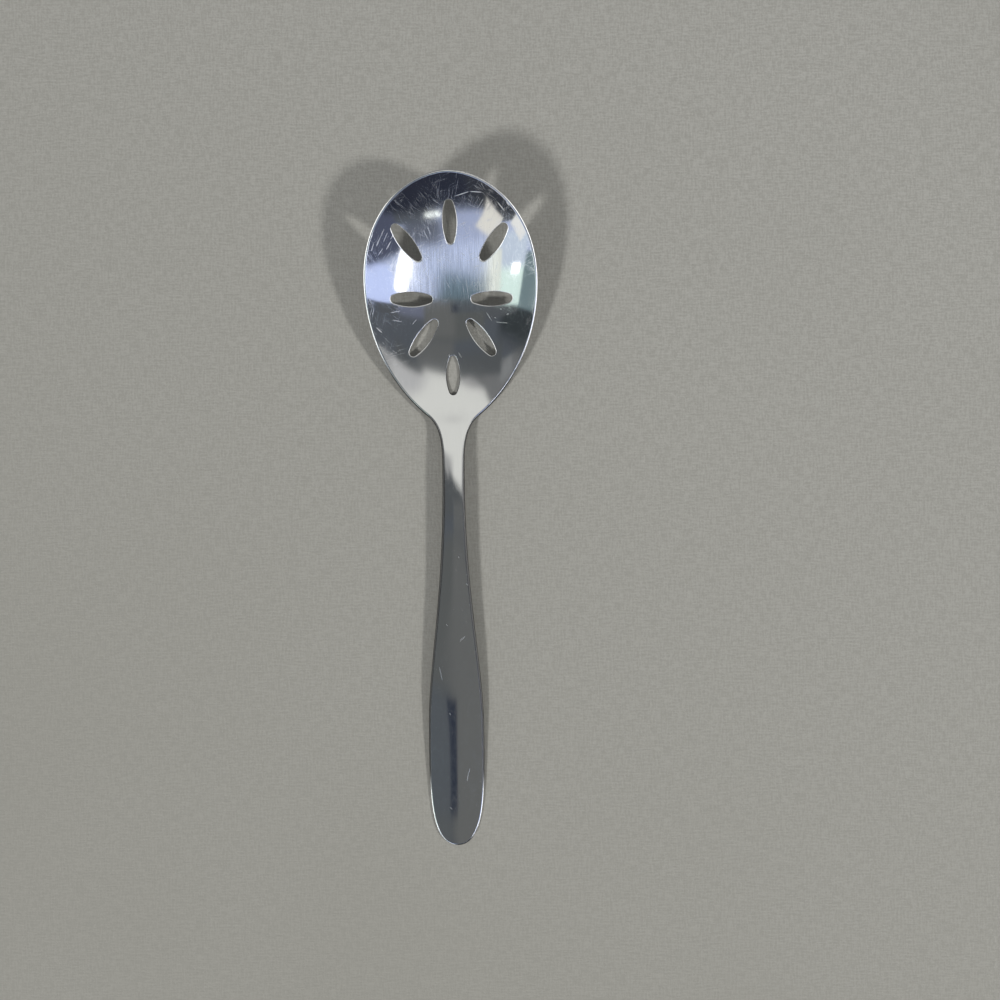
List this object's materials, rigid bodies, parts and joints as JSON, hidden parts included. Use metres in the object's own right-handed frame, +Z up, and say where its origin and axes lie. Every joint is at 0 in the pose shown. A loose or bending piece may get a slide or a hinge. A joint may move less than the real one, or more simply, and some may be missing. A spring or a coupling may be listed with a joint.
{
  "type": "pierced serving spoon",
  "caption": "Pierced serving spoon pressed from stainless steel sheet: broad oval bowl with slots radiating from its hollow, slim neck and flared, gently arched handle.",
  "frame": {"origin": "middle of the spoon's length and width, on the table that it lies on", "axes": "+Y along the spoon to the tip of the bowl, +Z up out of the hollow of the bowl, X across the spoon"},
  "size_m": [0.056, 0.2164, 0.0266],
  "materials": {
    "stainless_steel": "polished, with fine brushed lines along the bowl and light scratches from use"
  },
  "bodies": {
    "root": {"pierced_spoon": "stainless_steel"}
  },
  "joints": []
}
